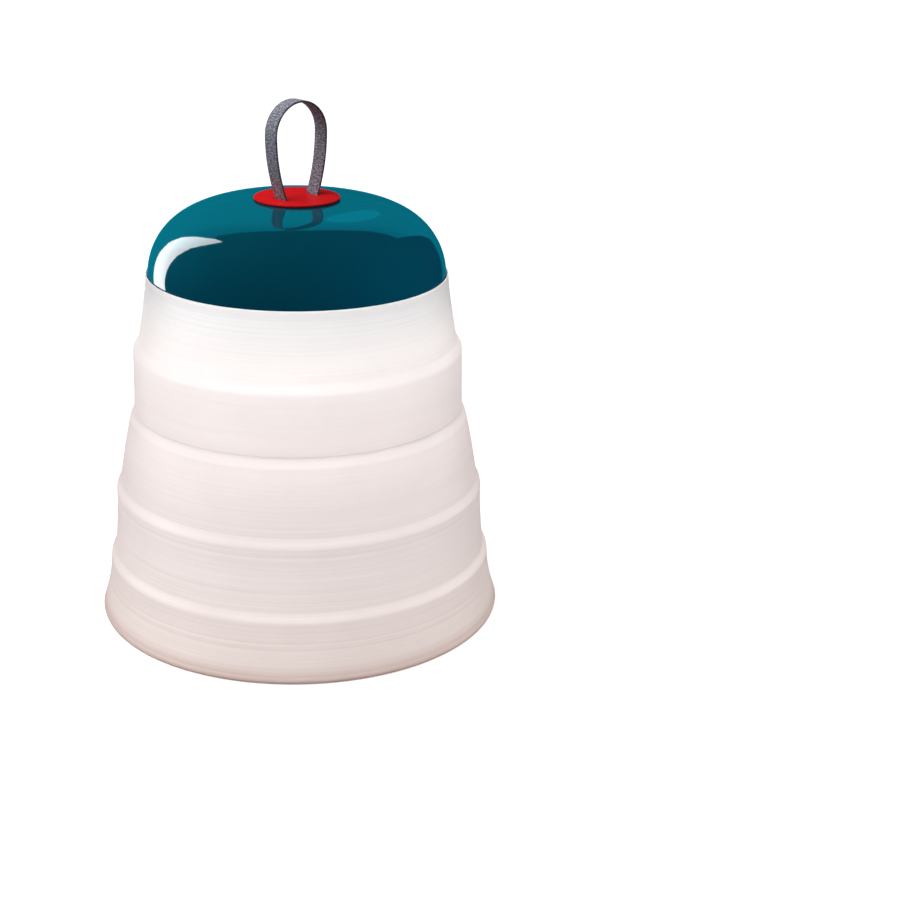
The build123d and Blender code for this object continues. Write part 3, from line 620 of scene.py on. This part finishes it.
def make_materials():
    """Every material, by its slot's name in the record."""
    return {
        "silicone": silicone(),
        "teal_shell": gloss_teal(),
        "red_plate": red_paint(),
        "webbing": webbing(),
        # closed foam, black; under the red disc its black is partly real spacer and partly painted shade
        # for the dark gap beneath the disc's edge
        "foam": moulded("closed_foam_and_gap_shade", (0.015, 0.015, 0.016), (0.035, 0.035, 0.037), 0.9, 900.0, 0.0001),
        "white_plastic": moulded("white_plastic", (0.78, 0.78, 0.765), (0.84, 0.84, 0.825), 0.42),
        "opal_plastic": moulded("opal_plastic", (0.88, 0.87, 0.84), (0.93, 0.92, 0.89), 0.32, 700.0,
                                Emission_Color=(1.0, 0.96, 0.93, 1), Emission_Strength=LAMP_GLOW),
        "phosphor": moulded("phosphor", (0.85, 0.66, 0.22), (0.95, 0.78, 0.32), 0.5, 1500.0),
        "aluminium_sheet": metal("aluminium_sheet", (0.72, 0.73, 0.75), (0.80, 0.81, 0.83), 0.34,
                                 (1, 14, 1)),
        "board_white": circuit_board("board_white", (0.86, 0.86, 0.84), (0.92, 0.92, 0.90)),
        "board_green": circuit_board("board_green", (0.012, 0.12, 0.045), (0.03, 0.20, 0.08)),
        "chip_black": moulded("chip_black", (0.018, 0.018, 0.02), (0.035, 0.035, 0.04), 0.6, 1800.0),
        "can_metal": metal("can_metal", (0.55, 0.56, 0.58), (0.66, 0.67, 0.69), 0.28, (1, 1, 12)),
        "cell_wrap": moulded("cell_wrap", (0.05, 0.22, 0.42), (0.07, 0.28, 0.50), 0.28, 300.0),
        "nickel": metal("nickel", (0.55, 0.52, 0.46), (0.64, 0.61, 0.55), 0.3, (10, 1, 1)),
        "steel": metal("steel", (0.50, 0.50, 0.51), (0.58, 0.58, 0.59), 0.3, (1, 12, 1)),
        "zinc_screw": metal("zinc_screw", (0.55, 0.56, 0.58), (0.66, 0.67, 0.69), 0.35),
        "teal_trim": moulded("teal_trim", (0.002, 0.085, 0.115), (0.004, 0.11, 0.145), 0.38, 900.0),
        "teal_rubber": moulded("teal_rubber", (0.002, 0.06, 0.08), (0.004, 0.08, 0.105), 0.62, 700.0),
        "red_button": moulded("red_button", (0.55, 0.008, 0.012), (0.66, 0.012, 0.018), 0.4, 800.0),
        "lead_black": moulded("lead_black", (0.02, 0.02, 0.02), (0.035, 0.035, 0.035), 0.5),
        "lead_white": moulded("lead_white", (0.72, 0.72, 0.70), (0.80, 0.80, 0.78), 0.5),
    }


def finish_cad_nodes():
    """Gives every CAD node the finish of its own material slot."""
    for part in frame["record"]["subparts"]:
        node = frame["nodes"][part["node"]]
        for slot in node.material_slots:
            slot.material = materials[part["material_slot"]]


# ---- studio ---------------------------------------------------------------------------------

# the photograph's camera: its turn round the lantern in degrees, its place in metres, its aim in
# radians and its lens in millimetres
CAMERA_TURN = -40.0
CAMERA_BACK = 1.1191
CAMERA_UP = 0.5288
CAMERA_PITCH = 0.360
CAMERA_YAW = 0.0907
CAMERA_ROLL = 0.0205
CAMERA_LENS = 70.57

# surroundings from straight down (0) through the horizon (0.5) to straight up (1)
SKY = (
    (0.0, (0.12, 0.11, 0.105)),
    (0.48, (0.20, 0.19, 0.185)),
    (0.56, (0.24, 0.24, 0.24)),
    (1.0, (0.32, 0.32, 0.32)),
)
SKY_IN_GLOSS = 0.05
FLOOR_GLOW = 0.8
FLOOR_REACH = 30.0

# height that the lights face, and the tint of those that only bring out the dome
AIM_Z = 0.2
TEAL_LIGHT = (0.005, 0.75, 1.0)


def studio_camera():
    """The camera, placed so that the lantern stands where it does in the photograph."""
    data = bpy.data.cameras.new("camera")
    data.lens = CAMERA_LENS
    data.sensor_width = 36.0
    data.clip_start = 0.01
    camera = bpy.data.objects.new("camera", data)
    bpy.context.scene.collection.objects.link(camera)
    camera.matrix_world = (
        Matrix.Rotation(radians(CAMERA_TURN), 4, "Z")
        @ Matrix.Translation((0, -CAMERA_BACK, CAMERA_UP))
        @ Matrix.Rotation(-CAMERA_YAW, 4, "Z")
        @ Matrix.Rotation(pi / 2 - CAMERA_PITCH, 4, "X")
        @ Matrix.Rotation(CAMERA_ROLL, 4, "Z")
    )
    bpy.context.scene.camera = camera


def softbox(name, azimuth, elevation, distance, size, power, only, colour=(1, 1, 1), **options):
    """A soft light that lights one group of pieces.

    Its azimuth in degrees counts from the camera's side, and its distance in metres from AIM_Z. It
    faces the lantern, or stands upright where that is asked for. Options: shape, glossy, diffuse,
    upright.
    """
    data = bpy.data.lights.new(name, "AREA")
    data.shape = options.get("shape", "RECTANGLE")
    data.size, data.size_y = size
    data.energy = power
    data.color = colour
    lamp = bpy.data.objects.new(name, data)
    bpy.context.scene.collection.objects.link(lamp)
    turn, rise = radians(azimuth + CAMERA_TURN), radians(elevation)
    away = Vector((sin(turn) * cos(rise), -cos(turn) * cos(rise), sin(rise)))
    lamp.location = Vector((0, 0, AIM_Z)) + away * distance
    facing = Vector((away.x, away.y, 0)) if options.get("upright") else away
    lamp.rotation_euler = (-facing).to_track_quat("-Z", "Y").to_euler()
    lamp.visible_camera = False
    lamp.visible_glossy = options.get("glossy", True)
    lamp.visible_diffuse = options.get("diffuse", True)
    lamp.light_linking.receiver_collection = only


def group(name, members):
    """A collection that a light is kept to."""
    made = bpy.data.collections.new(name)
    for member in members:
        made.objects.link(member)
    return made


def surroundings():
    """White behind the lantern for the camera; for its lighting, the soft grey of SKY.

    Reflections see only a little of it, so that they show the lights.
    """
    world = bpy.data.worlds.new("studio")
    world.use_nodes = True
    bpy.context.scene.world = world
    tree = world.node_tree
    place = tree.nodes.new("ShaderNodeTexCoord")
    split = tree.nodes.new("ShaderNodeSeparateXYZ")
    rise = tree.nodes.new("ShaderNodeMapRange")
    rise.inputs["From Min"].default_value = -1.0
    ramp = tree.nodes.new("ShaderNodeValToRGB")
    set_stops(ramp, SKY)
    seen = tree.nodes.new("ShaderNodeLightPath")
    choice = tree.nodes.new("ShaderNodeMix")
    choice.data_type = "RGBA"
    lighting, white = (k for k in choice.inputs if k.type == "RGBA")
    white.default_value = (1, 1, 1, 1)
    dimming = tree.nodes.new("ShaderNodeMapRange")
    dimming.inputs["To Min"].default_value = 1.0
    dimming.inputs["To Max"].default_value = SKY_IN_GLOSS
    background = tree.nodes["Background"]
    links = tree.links
    links.new(place.outputs["Generated"], split.inputs["Vector"])
    links.new(split.outputs["Z"], rise.inputs["Value"])
    links.new(rise.outputs["Result"], ramp.inputs["Fac"])
    links.new(ramp.outputs["Color"], lighting)
    links.new(seen.outputs["Is Camera Ray"], choice.inputs["Factor"])
    links.new(next(k for k in choice.outputs if k.type == "RGBA"), background.inputs["Color"])
    links.new(seen.outputs["Is Glossy Ray"], dimming.inputs["Value"])
    links.new(dimming.outputs["Result"], background.inputs["Strength"])


def floor():
    """Plain pale floor that shows no edge against the white behind it."""
    corners = [(x * FLOOR_REACH, y * FLOOR_REACH, 0) for x, y in ((-1, -1), (1, -1), (1, 1), (-1, 1))]
    mesh = bpy.data.meshes.new("floor")
    mesh.from_pydata(corners, [], [(0, 1, 2, 3)])
    sheet = bpy.data.objects.new("floor", mesh)
    bpy.context.scene.collection.objects.link(sheet)
    paper = Shader("pale_paper", Roughness=0.9)
    paper.set(Emission_Color=(1, 1, 1, 1), Emission_Strength=FLOOR_GLOW)
    paper.colour(paper.ramp(paper.noise(3.0, 3.0), (0.3, 0.93), (0.7, 0.95)))
    mesh.materials.append(paper.material)
    sheet.visible_glossy = False
    sheet.visible_diffuse = False


def studio():
    """White surroundings, and lights that are each kept to the wall, the dome or the rest.

    A softbox's numbers are azimuth, elevation, distance, (width, height) and power.
    """
    bpy.context.scene.view_settings.view_transform = "Standard"
    surroundings()
    floor()
    shown = [o for o in bpy.context.scene.objects if o.type == "MESH" and not o.hide_render]
    shells = [o for o in shown if o.name.endswith("_silicone")]
    cap = frame["nodes"]["dome_cap"]
    wall = group("lit_wall", shells)
    dome = group("lit_dome", [cap])
    trim = group("lit_trim", [o for o in shown if o != cap and o not in shells])
    softbox("overhead", -80, 62, 1.6, (1.4, 1.4), 20, trim, glossy=False)
    softbox("dome_overhead", -80, 62, 1.6, (1.4, 1.4), 11, dome, glossy=False)
    softbox("back_wall", -172, 32.3, 2.2, (4.0, 1.78), 28, dome, TEAL_LIGHT)
    softbox("back_floor", -172, -8, 2.2, (4.0, 1.45), 21, dome, TEAL_LIGHT)
    for share in (1.0, 0.7, 0.4):
        size, power = (0.32 * share, 0.6 * share), 0.26 * share ** 2
        softbox(f"rear_spot_{share}", 170, 31, 2.0, size, power, dome, TEAL_LIGHT, shape="ELLIPSE")
    for azimuth, power in ((-75, 11), (10, 5), (75, 23)):
        softbox(f"dome_glow_{azimuth}", azimuth, 5, 1.4, (1.2, 1.2), power, dome, TEAL_LIGHT, glossy=False)
    softbox("left_strip", -121, 11, 0.6, (0.22, 1.45), 7.4, dome, shape="ELLIPSE", upright=True)
    softbox("wall_front", 5, 34, 0.7, (0.75, 0.4), 3.5, wall)
    for azimuth in (140, 190):
        softbox(f"wall_back_{azimuth}", azimuth, 34, 0.7, (0.5, 0.4), 1.1, wall)
    softbox("wall_glint", 5, 68, 1.1, (0.3, 0.4), 4, wall, diffuse=False)
    for azimuth, power in ((5, 1.2), (95, 3.7), (185, 4.8), (275, 7.5)):
        softbox(f"wall_fill_{azimuth}", azimuth, 4, 1.1, (0.9, 0.7), power, wall)


# ---- build ----------------------------------------------------------------------------------

studio_camera()
materials = make_materials()
finish_cad_nodes()
lower_silicone()
upper_silicone()
strap()
return_spring()
studio()
